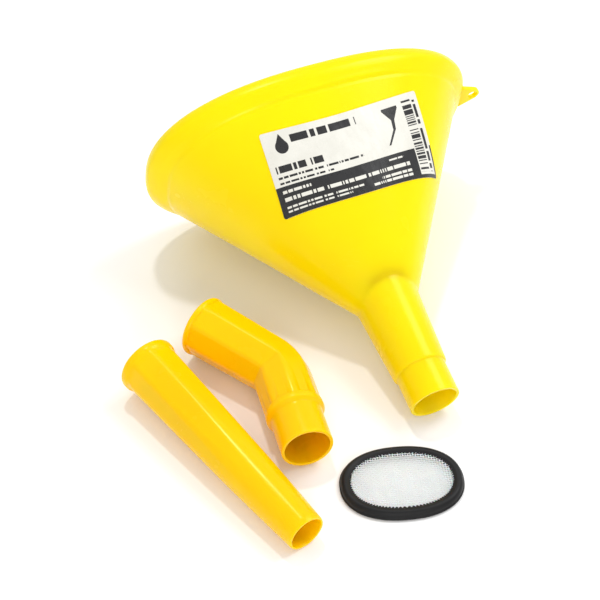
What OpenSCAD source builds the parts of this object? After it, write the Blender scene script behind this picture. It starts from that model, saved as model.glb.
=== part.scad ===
// Oval hand funnel for fuel and fluids, taken apart: funnel, elbow, nozzle and strainer laid on a surface.
// Millimetres, +Z up, origin at the middle of the kit's footprint on that surface.
// Every tube is drawn on its own axis, +Z along the flow or up the funnel, and laid down at the end.

/* [Funnel] */
// Long way across the collar at its widest
mouth_len = 135; // [110:1:165]
// Short way across the collar at its widest
mouth_wid = 84; // [70:1:104]
// Height from the spigot's end to the lip
funnel_h = 130; // [110:1:160]
// Wall of the funnel, measured level
wall = 1.4; // [1:0.1:2]
// Height of the collar round the mouth
collar_h = 11; // [9:0.5:14]
// Height from the collar's widest line to the lip
lip_h = 4; // [3:0.5:5]
// How far the lip rolls in along the long way
lip_in_len = 2.2; // [1:0.1:3]
// How far the lip rolls in along the short way
lip_in_wid = 1.4; // [1:0.1:3]
// How far the cone's top is inside the widest line, long way
crease_in_len = 6; // [4:0.5:8]
// How far the cone's top is inside the widest line, short way
crease_in_wid = 2.8; // [2:0.2:4]
// Step from the cone's top out to the collar
collar_step = 1.2; // [0.6:0.2:2]

/* [Neck] */
// Shoulder from the spigot out to the neck
neck_shoulder = 0.85; // [0.5:0.05:1.5]
// How far the neck flares from the shoulder up to the cone
neck_flare = 1.75; // [1:0.05:2.5]
// Length of the neck
neck_len = 30.5; // [25:0.5:37]

/* [Push fits] */
// Outer diameter of both spigots
spigot_d = 19.3; // [16:0.1:23.2]
// Wall of a spigot
spigot_wall = 1.2; // [1:0.1:1.5]
// Length of the funnel's spigot
funnel_spigot_len = 13.5; // [11:0.5:16.5]
// Length of the elbow's spigot
elbow_spigot_len = 14.7; // [12:0.1:18]
// Gap all round a spigot in its socket
fit_gap = 0.15; // [0.1:0.05:0.3]
// Spare depth past a spigot's end
socket_spare = 0.8; // [0.5:0.1:2]

/* [Lug] */
// Width of the hanging lug at the collar
lug_base_w = 12; // [10:0.5:18]
// Reach of the lug past the collar's widest line
lug_reach = 7.4; // [6:0.1:12]
// Radius of the lug's end
lug_end_r = 3; // [2.6:0.1:4]
// Hole in the lug
lug_hole_d = 3.6; // [3:0.1:4.2]
// Thickness of the lug
lug_t = 1.8; // [1.2:0.1:2.5]
// Height of the lug's top face below the lip
lug_drop = 4.6; // [4.2:0.1:8]

/* [Elbow] */
// Angle of the bend
bend_angle = 37.5; // [30:0.5:50]
// From the socket's mouth to the corner of the two axes
elbow_leg_1 = 37.5; // [34:0.5:48]
// From that corner to the bead
elbow_leg_2 = 20; // [17:0.5:30]
// Radius of the bend's centre line
bend_r = 18; // [15:0.5:22]
// Wall round the socket's mouth, at the flats
elbow_mouth_wall = 1.15; // [1:0.05:1.6]
// How far the flats at the bend stand outside the spigot
elbow_bend_step = 0.65; // [0.5:0.05:1.2]
// Across the rounded corners, as a share of across the flats
corner_share = 1.055; // [1.02:0.005:1.08]
// How far the lip stands out round the socket's mouth
elbow_lip_out = 0.9; // [0.7:0.05:1.5]
// Height of that lip
elbow_lip_h = 1.8; // [1:0.1:3]
// How far the bead stands out round the spigot
bead_out = 1.4; // [1:0.05:2]
// Height of the bead
bead_h = 3.4; // [2.5:0.1:5]
// Wall of the elbow past its socket
elbow_wall = 1.3; // [1:0.1:1.5]

/* [Nozzle] */
// Length of the nozzle
nozzle_len = 96; // [80:1:116]
// Wall round the socket's mouth, under the bell lip
nozzle_mouth_wall = 1.2; // [1:0.05:1.6]
// How far the bell lip stands out
nozzle_lip_out = 0.5; // [0.3:0.05:1]
// Height of the bell lip
nozzle_lip_h = 3.2; // [2:0.1:5]
// Barrel diameter at the tip
nozzle_tip_d = 14.6; // [12:0.1:17]
// How the barrel's taper gathers towards the tip
taper_power = 1.35; // [1:0.05:1.8]
// Where the flats run out, from the socket's mouth
flats_len = 55; // [40:1:70]
// How deep the flats start at the socket's mouth, across both sides
flats_in = 0.4; // [0.2:0.1:0.8]
// Wall of the nozzle
nozzle_wall = 1.0; // [0.8:0.1:1.3]

/* [Strainer] */
// Gap between the seated strainer and the funnel's wall, long way
strainer_gap_len = 0.2; // [0.2:0.1:1.5]
// Gap between the seated strainer and the funnel's wall, short way
strainer_gap_wid = 1.1; // [0.2:0.1:2.5]
// Height above the neck's top at which the strainer seats
seat_h = 18; // [14:0.5:24]
// Width of the ring
ring_w = 3.6; // [3:0.1:5.5]
// Height of the ring
ring_h = 3.6; // [3:0.1:5]
// Thickness of the woven mesh
mesh_t = 0.6; // [0.4:0.1:1]
// How far the mesh lies below the ring's top
mesh_sunk = 0.7; // [0.7:0.1:2]
// How far the mesh runs into the ring
mesh_grip = 1.2; // [0.8:0.1:2]

/* [Label] */
// Length of the label
label_len = 65; // [50:1:68]
// Height of the label
label_wid = 30; // [24:0.5:36]
// Thickness of the label
label_t = 0.15; // [0.1:0.05:0.3]
// From the collar's foot down to the label's top edge
label_drop = 10.5; // [4:0.1:12]
// Sideways place of the label's middle
label_shift = 3.3; // [-5:0.1:5]
// Slant of the label as it was stuck on
label_slant = 0.8; // [-3:0.1:3]

/* [Layout] */
// Turn of the funnel on the surface
funnel_turn = 22.5; // [15:0.5:30]
// Turn of the elbow's first leg
elbow_turn = 53; // [45:0.5:60]
// Turn of the nozzle
nozzle_turn = 38.3; // [30:0.1:45]
// Turn of the strainer
strainer_turn = 6; // [0:0.5:12]

/* [Hidden] */
$fn = 96;
lemon = [0.96, 0.90, 0.05];
golden = [1.0, 0.80, 0.0];

SIDES = 72;          // points round an oval
CONE_STEPS = 10;     // rings up the cone
FLATS = 8;           // flats round a tube
MOUTH_POWER = 2.4;   // 2 is an ellipse, more is boxier
CONE_POWER = 2.5;
RING_POWER = 2.25;
SEAM = 0.35;         // how deep the cone's root sits inside the neck's wall
LEDGE = 0.05;        // how far the cone starts inside the neck's outer edge
EDGE = 0.8;          // height of a bead's or a lip's sloped edge
BEND_STEP = 0.1;     // how much smaller the bend is than the first leg's end, across both sides
LIP_ROUND = 0.4;     // rounding of the bell lip's mouth
EPS = 0.01;

// Where each piece's own origin lies on the surface, before the kit is centred
funnel_place = [49.5, -60.9];
elbow_place = [-37.4, -24.7];
nozzle_place = [-57.1, -43.9];
strainer_place = [36.4, -91.9];

neck_top_z = funnel_spigot_len + neck_len;
crease_z = funnel_h - collar_h;
widest_z = funnel_h - lip_h;
widest_a = mouth_len / 2;
widest_b = mouth_wid / 2;
crease_a = widest_a - crease_in_len;
crease_b = widest_b - crease_in_wid;
socket_d = spigot_d + 2 * fit_gap;
spigot_bore_d = spigot_d - 2 * spigot_wall;
neck_end_r = spigot_d / 2 + neck_shoulder;
neck_top_r = neck_end_r + neck_flare;
elbow_mouth_af = socket_d + 2 * elbow_mouth_wall;
elbow_bend_af = spigot_d + 2 * elbow_bend_step;
elbow_lip_d = elbow_mouth_af + 2 * elbow_lip_out;
bead_d = spigot_d + 2 * bead_out;
nozzle_top_d = socket_d + 2 * nozzle_mouth_wall;
nozzle_lip_d = nozzle_top_d + 2 * nozzle_lip_out;

// --- ovals and lofts ---

function side_power(c, p) = sign(c) * pow(abs(c), 2 / p);
// An oval is [z, half length, half width, power]
function oval_point(o, t) = [o[1] * side_power(cos(t), o[3]), o[2] * side_power(sin(t), o[3]), o[0]];
function oval_points(o) = [for (i = [0:SIDES - 1]) oval_point(o, 360 * i / SIDES)];
function mix(a, b, s) = a + (b - a) * s;
// The cone's outside, s from 0 at the neck to 1 at the collar's foot
function cone_oval(s) = [mix(neck_top_z, crease_z, s), mix(neck_top_r, crease_a, s),
                         mix(neck_top_r, crease_b, s), mix(2, CONE_POWER, s)];
function shrink(o, d) = [o[0], o[1] - d, o[2] - d, o[3]];

// A closed skin through a loop of ovals: up the outside, over the edge and down the inside
module oval_shell(ovals) {
    n = len(ovals);
    points = [for (o = ovals) each oval_points(o)];
    faces = [for (k = [0:n - 1], i = [0:SIDES - 1])
        let (a = k * SIDES + i, b = k * SIDES + (i + 1) % SIDES,
             c = ((k + 1) % n) * SIDES + (i + 1) % SIDES, d = ((k + 1) % n) * SIDES + i)
        each [[a, c, b], [a, d, c]]];
    polyhedron(points, faces);
}

// --- funnel ---

collar_outside = [
    [crease_z + 0.3, crease_a + 0.2, crease_b + 0.2, CONE_POWER],
    [crease_z + collar_step, crease_a + collar_step, crease_b + collar_step, MOUTH_POWER],
    [mix(crease_z, widest_z, 0.6), mix(crease_a, widest_a, 0.74), mix(crease_b, widest_b, 0.74), MOUTH_POWER],
    [widest_z, widest_a, widest_b, MOUTH_POWER],
    [widest_z + lip_h * 0.5, widest_a - lip_in_len * 0.25, widest_b - lip_in_wid * 0.25, MOUTH_POWER],
    [widest_z + lip_h * 0.85, widest_a - lip_in_len * 0.7, widest_b - lip_in_wid * 0.7, MOUTH_POWER],
    [funnel_h, widest_a - lip_in_len, widest_b - lip_in_wid, MOUTH_POWER],
];
root_outside = [neck_top_z - 0.5, neck_top_r - SEAM, neck_top_r - SEAM, 2];
cone_outside = [for (i = [0:CONE_STEPS]) i == 0
    ? [neck_top_z + 0.5, neck_top_r - LEDGE, neck_top_r - LEDGE, 2] : cone_oval(i / CONE_STEPS)];
funnel_outside = concat([root_outside], cone_outside, collar_outside);
funnel_inside = [for (i = [len(funnel_outside) - 1:-1:1]) shrink(funnel_outside[i], wall)];
root_inside = [neck_top_z - 0.5, neck_top_r - wall + SEAM, neck_top_r - wall + SEAM, 2];

module neck_and_spigot() {
    rotate_extrude()
        polygon([
            [spigot_bore_d / 2, 0], [spigot_d / 2, 0], [spigot_d / 2, funnel_spigot_len],
            [neck_end_r, funnel_spigot_len], [neck_top_r, neck_top_z], [neck_top_r - wall, neck_top_z],
            [neck_end_r - wall, funnel_spigot_len + 1], [spigot_bore_d / 2, funnel_spigot_len - 1]]);
}

// The lug grows from inside the collar's wall; its root leans as the collar's skin does
function collar_a(z) = lookup(z, [for (o = collar_outside) [o[0], o[1]]]);
lug_top_z = funnel_h - lug_drop;
lug_end_x = widest_a + lug_reach - lug_end_r;
root_low = collar_a(lug_top_z - lug_t) - wall / 2;
root_lean = atan2(collar_a(lug_top_z) - wall / 2 - root_low, lug_t);

// A tab with a round end, its sides tangent to that end
module lug() {
    run = lug_end_x - root_low;
    lean = atan2(lug_base_w / 2 - lug_end_r, run);
    touch = lug_end_r * [sin(lean), cos(lean)];
    translate([0, 0, lug_top_z - lug_t])
        difference() {
            linear_extrude(lug_t)
                union() {
                    polygon([[root_low - wall, lug_base_w / 2], [lug_end_x + touch[0], touch[1]],
                             [lug_end_x + touch[0], -touch[1]], [root_low - wall, -lug_base_w / 2]]);
                    translate([lug_end_x, 0]) circle(lug_end_r);
                }
            translate([lug_end_x, 0, -1]) cylinder(d = lug_hole_d, h = lug_t + 2);
            translate([root_low, 0, 0])
                rotate([0, root_lean, 0])
                    translate([-lug_base_w, -lug_base_w, -lug_base_w])
                        cube([lug_base_w, lug_base_w * 2, lug_base_w * 2]);
        }
}

module funnel_body() {
    color(lemon)
        lay_funnel() {
            oval_shell(concat(funnel_outside, funnel_inside, [root_inside]));
            neck_and_spigot();
            lug();
        }
}

// The label follows the cone's front, the side that lies uppermost
LABEL_COLS = 20;
LABEL_ROWS = 4;
LABEL_LIFT = 0.4;    // clear of the cone's skin
LABEL_BOW = [0.0037, 0.0027];  // how a flat film rides up a cone's sides, at its foot and at its head
label_mid_z = crease_z - label_drop - label_wid / 2;

function cone_front(x, z) =
    let (o = cone_oval((z - neck_top_z) / (crease_z - neck_top_z)))
    o[2] * pow(1 - pow(abs(x) / o[1], o[3]), 1 / o[3]);
function label_point(i, j, lift) =
    let (u = label_len * (i / LABEL_COLS - 0.5), w = label_wid * (j / LABEL_ROWS - 0.5),
         x = label_shift + u * cos(label_slant) - w * sin(label_slant),
         z = label_mid_z + u * sin(label_slant) + w * cos(label_slant)
             + x * x * mix(LABEL_BOW[0], LABEL_BOW[1], j / LABEL_ROWS))
    [x, -cone_front(x, z) - lift, z];

module label() {
    row = LABEL_COLS + 1;
    sheet = row * (LABEL_ROWS + 1);
    under = [for (j = [0:LABEL_ROWS], i = [0:LABEL_COLS]) label_point(i, j, LABEL_LIFT)];
    over = [for (j = [0:LABEL_ROWS], i = [0:LABEL_COLS]) label_point(i, j, LABEL_LIFT + label_t)];
    cells = [for (j = [0:LABEL_ROWS - 1], i = [0:LABEL_COLS - 1]) j * row + i];
    edge = concat([for (i = [0:LABEL_COLS]) i], [for (j = [1:LABEL_ROWS]) j * row + LABEL_COLS],
                  [for (i = [1:LABEL_COLS]) LABEL_ROWS * row + LABEL_COLS - i],
                  [for (j = [1:LABEL_ROWS - 1]) (LABEL_ROWS - j) * row]);
    faces = concat(
        [for (c = cells) each [[c, c + row + 1, c + 1], [c, c + row, c + row + 1]]],
        [for (c = cells) each [[sheet + c, sheet + c + 1, sheet + c + row + 1],
                               [sheet + c, sheet + c + row + 1, sheet + c + row]]],
        [for (k = [0:len(edge) - 1]) let (a = edge[k], b = edge[(k + 1) % len(edge)])
            each [[a, b, sheet + b], [a, sheet + b, sheet + a]]]);
    color("whitesmoke")
        lay_funnel()
            polyhedron(concat(under, over), [for (f = faces) [f[0], f[2], f[1]]]);
}

// --- elbow ---

// Section of a tube with flats and rounded corners; a corner is on each axis
corner_half = 180 / FLATS - acos(1 / corner_share);
module flat_section(af) {
    polygon([for (k = [0:FLATS - 1], t = [-corner_half, 0, corner_half]) let (a = k * 360 / FLATS + t)
        af * corner_share / 2 * [cos(a), sin(a)]]);
}

// Planes flats round a tapering tube, af_1 apart at its start and af_2 at height h
module planed(af_1, af_2, h) {
    lean = atan2((af_1 - af_2) / 2, h);
    difference() {
        children();
        for (k = [0:FLATS - 1])
            rotate([0, 0, (k + 0.5) * 360 / FLATS])
                translate([af_1 / 2, 0, 0])
                    rotate([0, -lean, 0])
                        translate([0, -af_1 / 2, -af_1 / 2])
                            cube([af_1, af_1, h + af_1]);
    }
}

bend_cut = bend_r * tan(bend_angle / 2);
straight_1 = elbow_leg_1 - bend_cut;
straight_2 = elbow_leg_2 - bend_cut;
elbow_socket_depth = funnel_spigot_len + socket_spare;

// Carries its children from the socket's mouth to the end of the bend
module after_bend() {
    translate([-bend_r * (1 - cos(bend_angle)), 0, straight_1 + bend_r * sin(bend_angle)])
        rotate([0, -bend_angle, 0])
            children();
}

// Sweeps a section round the bend, which turns towards -X
module round_bend() {
    translate([-bend_r, 0, straight_1])
        rotate([90, 0, 0])
            rotate_extrude(angle = bend_angle)
                translate([bend_r, 0])
                    children();
}

module elbow_outside() {
    translate([0, 0, elbow_lip_h - EPS])
        planed(elbow_mouth_af, elbow_bend_af, straight_1 - elbow_lip_h + EPS)
            cylinder(d1 = elbow_mouth_af * corner_share, d2 = elbow_bend_af * corner_share,
                     h = straight_1 - elbow_lip_h + EPS);
    cylinder(d1 = elbow_lip_d - 0.6, d2 = elbow_lip_d, h = elbow_lip_h / 3);
    translate([0, 0, elbow_lip_h / 3])
        cylinder(d = elbow_lip_d, h = elbow_lip_h * 2 / 3);
    round_bend() flat_section(elbow_bend_af - BEND_STEP);
    after_bend() {
        linear_extrude(straight_2) flat_section(elbow_bend_af - BEND_STEP);
        translate([0, 0, straight_2]) {
            cylinder(d = bead_d, h = bead_h - EDGE);
            translate([0, 0, bead_h - EDGE])
                cylinder(d1 = bead_d, d2 = spigot_d, h = EDGE);
            cylinder(d = spigot_d, h = bead_h + elbow_spigot_len);
        }
    }
}

module elbow_passage() {
    passage_d = elbow_bend_af - 2 * elbow_wall;
    translate([0, 0, -1])
        cylinder(d = socket_d, h = elbow_socket_depth + 1);
    translate([0, 0, elbow_socket_depth - EPS])
        cylinder(d = passage_d, h = straight_1 - elbow_socket_depth + EPS);
    round_bend() circle(d = passage_d - BEND_STEP);
    after_bend() {
        cylinder(d = passage_d, h = straight_2);
        translate([0, 0, straight_2 - EPS])
            cylinder(d = spigot_bore_d, h = bead_h + elbow_spigot_len + 1);
    }
}

module elbow() {
    color(golden)
        lay_elbow()
            difference() {
                elbow_outside();
                elbow_passage();
            }
}

// --- nozzle ---

BARREL_STEPS = 10;
nozzle_socket_depth = elbow_spigot_len + socket_spare;
function barrel_r(z) =
    mix(nozzle_top_d, nozzle_tip_d, pow((z - nozzle_lip_h) / (nozzle_len - nozzle_lip_h), taper_power)) / 2;
barrel_z = [for (i = [0:BARREL_STEPS]) mix(nozzle_lip_h + 1, nozzle_len, i / BARREL_STEPS)];
passage_z = [for (i = [0:BARREL_STEPS]) mix(nozzle_socket_depth, nozzle_len, i / BARREL_STEPS)];
flats_end_af = 2 * barrel_r(flats_len);
flats_start_af = nozzle_top_d - flats_in;

module nozzle_outside() {
    rotate_extrude()
        polygon(concat([[0, 0], [nozzle_lip_d / 2 - LIP_ROUND, 0], [nozzle_lip_d / 2, LIP_ROUND * 1.5],
                        [nozzle_lip_d / 2, nozzle_lip_h - EDGE]],
                       [[nozzle_top_d / 2 - EPS, nozzle_lip_h], [0, nozzle_lip_h]]));
    planed(flats_start_af, flats_end_af, flats_len)
        rotate_extrude()
            polygon(concat([[0, 0], [barrel_r(nozzle_lip_h), 0]], [for (z = barrel_z) [barrel_r(z), z]],
                           [[0, nozzle_len]]));
}

module nozzle_passage() {
    translate([0, 0, -1])
        cylinder(d = socket_d, h = nozzle_socket_depth + 1);
    rotate_extrude()
        polygon(concat([[0, nozzle_socket_depth - EPS]],
                       [for (z = passage_z) [barrel_r(z) - nozzle_wall - 0.25, z]],
                       [[nozzle_tip_d / 2 - nozzle_wall, nozzle_len + 1], [0, nozzle_len + 1]]));
}

module nozzle() {
    color(golden)
        lay_nozzle()
            difference() {
                nozzle_outside();
                nozzle_passage();
            }
}

// --- strainer: a ring moulded round a disc of woven mesh ---

seat_oval = shrink(cone_oval(seat_h / (crease_z - neck_top_z)), wall);
ring_a = seat_oval[1] - strainer_gap_len;
ring_b = seat_oval[2] - strainer_gap_wid;
mesh_z = ring_h - mesh_t - mesh_sunk;

function ring_oval(z, inset) = [z, ring_a - inset, ring_b - inset, RING_POWER];

module strainer_ring() {
    color([0.10, 0.10, 0.11])
        lay_strainer()
            oval_shell([
                ring_oval(0, ring_w - 0.5), ring_oval(0, 0.5), ring_oval(0.4, 0.1), ring_oval(0.7, 0),
                ring_oval(1.2, 0), ring_oval(1.35, 0.45), ring_oval(2.2, 0.55), ring_oval(3.0, 1.0),
                ring_oval(ring_h - 0.1, 1.7), ring_oval(ring_h, 2.4), ring_oval(ring_h - 0.15, ring_w - 0.7),
                ring_oval(ring_h - 0.6, ring_w), ring_oval(mesh_z + mesh_t, ring_w),
                ring_oval(mesh_z + mesh_t, ring_w - mesh_grip), ring_oval(mesh_z, ring_w - mesh_grip),
                ring_oval(mesh_z, ring_w), ring_oval(0.5, ring_w)]);
}

module strainer_mesh() {
    color([0.88, 0.91, 0.91])
        lay_strainer()
            translate([0, 0, mesh_z])
                linear_extrude(mesh_t)
                    polygon([for (p = oval_points(ring_oval(0, ring_w - mesh_grip + 0.05))) [p[0], p[1]]]);
}

// --- layout: each piece lies at rest on the surface z = 0 ---

// The funnel rests on the collar's widest line and on its spigot's end or the neck's shoulder
funnel_tilt = min(atan2(widest_b - spigot_d / 2, widest_z),
                  atan2(widest_b - neck_end_r, widest_z - funnel_spigot_len));
funnel_axis_z = widest_b * cos(funnel_tilt) - widest_z * sin(funnel_tilt);
// The elbow rests on its lip and on its bead
bead_run = elbow_leg_1 + (elbow_leg_2 + bead_h - EDGE) * cos(bend_angle);
elbow_tilt = atan2((elbow_lip_d - bead_d) / 2, bead_run - elbow_lip_h);
elbow_axis_z = elbow_lip_d / 2 * cos(elbow_tilt) + elbow_lip_h * sin(elbow_tilt);
// The nozzle rests on its bell lip and on its barrel where that stands out furthest
nozzle_rest = nozzle_lip_h - EDGE;
nozzle_tilt = min([for (z = barrel_z) atan2(nozzle_lip_d / 2 - barrel_r(z), z - nozzle_rest)]);
nozzle_axis_z = nozzle_lip_d / 2 * cos(nozzle_tilt) + nozzle_rest * sin(nozzle_tilt);

// The same moves as functions, to find the footprint's middle
function turned(p, a) = [p[0] * cos(a) - p[1] * sin(a), p[0] * sin(a) + p[1] * cos(a), p[2]];
function tipped(p, a) = [p[0], p[1] * cos(a) - p[2] * sin(a), p[1] * sin(a) + p[2] * cos(a)];
function put(p, place, tip, turn) = [place[0], place[1], 0] + turned(tipped(p, tip), turn);
function funnel_to_kit(p) = put(p, funnel_place, funnel_tilt - 90, funnel_turn);
function nozzle_to_kit(p) = put(p, nozzle_place, 90 + nozzle_tilt, nozzle_turn);
function rim(r, z, x = 0) = [for (t = [0:2.5:357.5]) [x + r * cos(t), r * sin(t), z]];
footprint = concat(
    [for (o = collar_outside, p = oval_points(o)) funnel_to_kit(p)],
    [for (p = concat(rim(lug_end_r, lug_top_z, lug_end_x), rim(lug_end_r, lug_top_z - lug_t, lug_end_x)))
        funnel_to_kit(p)],
    [for (p = concat(rim(nozzle_lip_d / 2 - LIP_ROUND, 0), rim(nozzle_lip_d / 2, LIP_ROUND * 1.5),
                     rim(nozzle_tip_d / 2, nozzle_len)))
        nozzle_to_kit(p)]);
kit_mid = [for (k = [0:1]) (min([for (p = footprint) p[k]]) + max([for (p = footprint) p[k]])) / 2];

module place(at, turn) {
    translate([at[0] - kit_mid[0], at[1] - kit_mid[1], 0])
        rotate([0, 0, turn])
            children();
}

module lay_funnel() {
    place(funnel_place, funnel_turn)
        translate([0, 0, funnel_axis_z])
            rotate([funnel_tilt - 90, 0, 0])
                children();
}

module lay_elbow() {
    place(elbow_place, elbow_turn)
        translate([0, 0, elbow_axis_z])
            rotate([90 + elbow_tilt, 0, 0])
                children();
}

module lay_nozzle() {
    place(nozzle_place, nozzle_turn)
        translate([0, 0, nozzle_axis_z])
            rotate([90 + nozzle_tilt, 0, 0])
                children();
}

module lay_strainer() {
    place(strainer_place, strainer_turn)
        children();
}

funnel_body();
label();
elbow();
nozzle();
strainer_ring();
strainer_mesh();
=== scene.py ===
# %% [markdown]
# An oval hand funnel, taken apart: the funnel itself, a bent extension, a straight nozzle and a drop-in
# strainer. The frame holds the designed parts, their places and their joints. This file gives each of them
# its smooth moulded skin and its finish. Everything is in metres in the frame's own axes, and MM turns the
# millimetres of a workshop drawing into metres.

import math

import bpy
import numpy as np
from mathutils import Matrix, Vector


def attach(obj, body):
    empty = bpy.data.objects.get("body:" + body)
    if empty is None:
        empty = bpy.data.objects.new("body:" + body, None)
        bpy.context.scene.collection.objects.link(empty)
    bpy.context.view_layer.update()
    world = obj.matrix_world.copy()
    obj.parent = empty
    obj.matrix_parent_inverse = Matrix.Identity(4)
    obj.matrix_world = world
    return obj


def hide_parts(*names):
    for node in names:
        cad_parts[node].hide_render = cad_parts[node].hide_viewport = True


MM = 0.001
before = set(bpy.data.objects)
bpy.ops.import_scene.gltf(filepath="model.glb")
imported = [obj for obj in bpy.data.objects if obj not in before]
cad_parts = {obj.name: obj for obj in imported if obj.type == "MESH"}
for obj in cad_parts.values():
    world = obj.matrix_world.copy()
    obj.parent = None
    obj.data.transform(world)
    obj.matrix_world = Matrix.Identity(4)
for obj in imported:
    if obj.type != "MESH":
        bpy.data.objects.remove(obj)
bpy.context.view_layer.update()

# %% [markdown]
# Every piece is drawn upright on its own axis and then laid on the surface, just as it would be in a
# workshop. Two turns do it: one tips the axis down to the surface, the other turns the piece on it. Where a
# piece rests on two widths, the tip follows from them.

# %% Laying a piece on the surface
def laid(at, axis_height, tip, turn):
    """The matrix that lays an upright piece down; at and axis_height in millimetres, angles in degrees."""
    return (Matrix.Translation(Vector((at[0], at[1], axis_height)) * MM)
            @ Matrix.Rotation(math.radians(turn), 4, "Z") @ Matrix.Rotation(math.radians(tip), 4, "X"))


def lean(rise, run):
    return math.degrees(math.atan2(rise, run))


# %% [markdown]
# Blow-moulded and injection-moulded shells are skins of even wall, so each is made as a loft: closed rings of
# points joined to the next ring, up the outside, over the edge and back down the inside. A loft gives full
# control of every bead and step, which a revolved profile with a boolean for the flats would not.

# %% Lofting rings into a skin
def linked(name, data):
    """An object of that mesh, lamp or camera, in the scene."""
    made = bpy.data.objects.new(name, data)
    bpy.context.scene.collection.objects.link(made)
    return made


def piece_from(name, verts, faces, place, keep_sharp=None):
    """A smooth piece from points in millimetres, laid in its place; edges past keep_sharp stay sharp."""
    mesh = bpy.data.meshes.new(name)
    mesh.from_pydata((np.asarray(verts, float) * MM).tolist(), [], faces)
    mesh.validate()
    mesh.shade_smooth()
    if keep_sharp is not None:
        mesh.set_sharp_from_angle(angle=math.radians(keep_sharp))
    mesh.transform(place)
    print(name, "faces:", len(mesh.polygons))
    return linked(name, mesh)


def skin(name, rings, place, keep_sharp=40):
    """A closed skin through rings of equal count, in millimetres, with the last ring joined to the first."""
    rings = np.asarray(rings, float)
    count, sides, _ = rings.shape
    i = np.arange(sides)
    j = (i + 1) % sides
    faces = []
    for k in range(count):
        a, b = k * sides, (k + 1) % count * sides
        faces.append(np.stack([a + i, a + j, b + j, b + i], axis=1))
    return piece_from(name, rings.reshape(-1, 3), np.concatenate(faces).tolist(), place, keep_sharp)


def circle(sides):
    t = np.arange(sides) * 2 * math.pi / sides
    return np.cos(t), np.sin(t)


def mix(a, b, s):
    return a + (b - a) * s


def smooth_step(s):
    s = np.clip(s, 0, 1)
    return s * s * (3 - 2 * s)


# %% [markdown]
# A profile is drawn with sharp corners and its corners are then rounded, as a mould maker breaks every edge.
# Each corner becomes a short curve that starts and ends a set distance away from it.

# %% Rounding a profile's corners
CUT_LIMIT = 0.45  # the share of a side that one corner may use up


def rounded(points, radius=0.35, steps=3):
    """Points of any width; each inner corner becomes a quadratic curve of about that radius."""
    points = [np.asarray(p, float) for p in points]
    out = [points[0]]
    for before, here, after in zip(points, points[1:], points[2:]):
        to_before, to_after = before - here, after - here
        cut_in = min(radius, np.linalg.norm(to_before) * CUT_LIMIT)
        cut_out = min(radius, np.linalg.norm(to_after) * CUT_LIMIT)
        start = here + to_before / np.linalg.norm(to_before) * cut_in
        end = here + to_after / np.linalg.norm(to_after) * cut_out
        for s in np.linspace(0, 1, steps + 1):
            out.append(mix(mix(start, here, s), mix(here, end, s), s))
    return out + [points[-1]]


# %% [markdown]
# The funnel is one oval moulding. The cone grows from a round neck to a boxy oval; a superellipse does this
# with one number, its power, which rises from 2 at the neck. Above a soft crease the collar bulges out and
# the lip rolls in. The neck stands through the cone's flatter front as an arch, because the cone leaves the
# neck later there than at its sides.

# %% The funnel's sizes
MOUTH_LEN, MOUTH_WID, FUNNEL_H, WALL = 135, 84, 130, 1.4
COLLAR_H, LIP_H = 11, 4
LIP_IN, CREASE_IN = (2.2, 1.4), (6.0, 2.8)
SPIGOT_R, SPIGOT_WALL, FUNNEL_SPIGOT = 9.65, 1.2, 13.5
NECK_END_R, NECK_TOP_R, NECK_LEN = 10.5, 12.25, 30.5
MOUTH_POWER, CONE_POWER = 2.4, 2.5
WIDEST_A, WIDEST_B = MOUTH_LEN / 2, MOUTH_WID / 2
CREASE_A, CREASE_B = WIDEST_A - CREASE_IN[0], WIDEST_B - CREASE_IN[1]
NECK_TOP_Z = FUNNEL_SPIGOT + NECK_LEN
CREASE_Z, WIDEST_Z = FUNNEL_H - COLLAR_H, FUNNEL_H - LIP_H

funnel_tilt = min(lean(WIDEST_B - SPIGOT_R, WIDEST_Z), lean(WIDEST_B - NECK_END_R, WIDEST_Z - FUNNEL_SPIGOT))
funnel_axis = (WIDEST_B * math.cos(math.radians(funnel_tilt))
               - WIDEST_Z * math.sin(math.radians(funnel_tilt)))
FUNNEL_PLACE = laid((45.96, -40.55), funnel_axis, funnel_tilt - 90, 22.5)
print("the funnel leans", round(funnel_tilt, 1), "degrees and its spigot's axis is",
      round(funnel_axis, 2), "mm up")

# %% The cone and the collar as ovals
SIDES = 288
cos_t, sin_t = circle(SIDES)


def oval(z, a, b, power):
    x = a * np.sign(cos_t) * np.abs(cos_t) ** (2 / power)
    y = b * np.sign(sin_t) * np.abs(sin_t) ** (2 / power)
    return np.stack([x, y, np.full(SIDES, float(z))], axis=1)


def cone_oval(s):
    """s runs from 0 at the neck to 1 at the crease."""
    return (mix(NECK_TOP_Z, CREASE_Z, s), mix(NECK_TOP_R, CREASE_A, s), mix(NECK_TOP_R, CREASE_B, s),
            mix(2, CONE_POWER, s))


ARCH_DEEP, ARCH_TOP, ARCH_EASE = 2.4, 0.3, 1.6  # how far the front lags, up to which share, how it fades
NECK_FLARE, NECK_BLEND = 0.057, 0.25  # the neck's widening per millimetre, and how softly it meets the cone


def cone_ring(s):
    """The cone's ring with the neck standing through it as a soft arch."""
    z, a, b, power = cone_oval(s)
    lag = ARCH_DEEP * max(0, 1 - s / ARCH_TOP) ** ARCH_EASE
    ring = oval(z, a, b - lag, power)
    reach = np.hypot(ring[:, 0], ring[:, 1])
    neck = NECK_TOP_R + NECK_FLARE * (z - NECK_TOP_Z)
    larger = (reach + neck + np.sqrt((reach - neck) ** 2 + NECK_BLEND ** 2)) / 2
    larger = mix(larger, reach, smooth_step(s / ARCH_TOP))
    ring[:, :2] *= (larger / reach)[:, None]
    return ring


def collar_spec(z, share):
    """A collar ring at height z whose width has gone that share of the way from crease to widest line."""
    return [z, mix(CREASE_A, WIDEST_A, share), mix(CREASE_B, WIDEST_B, share), MOUTH_POWER]


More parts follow.
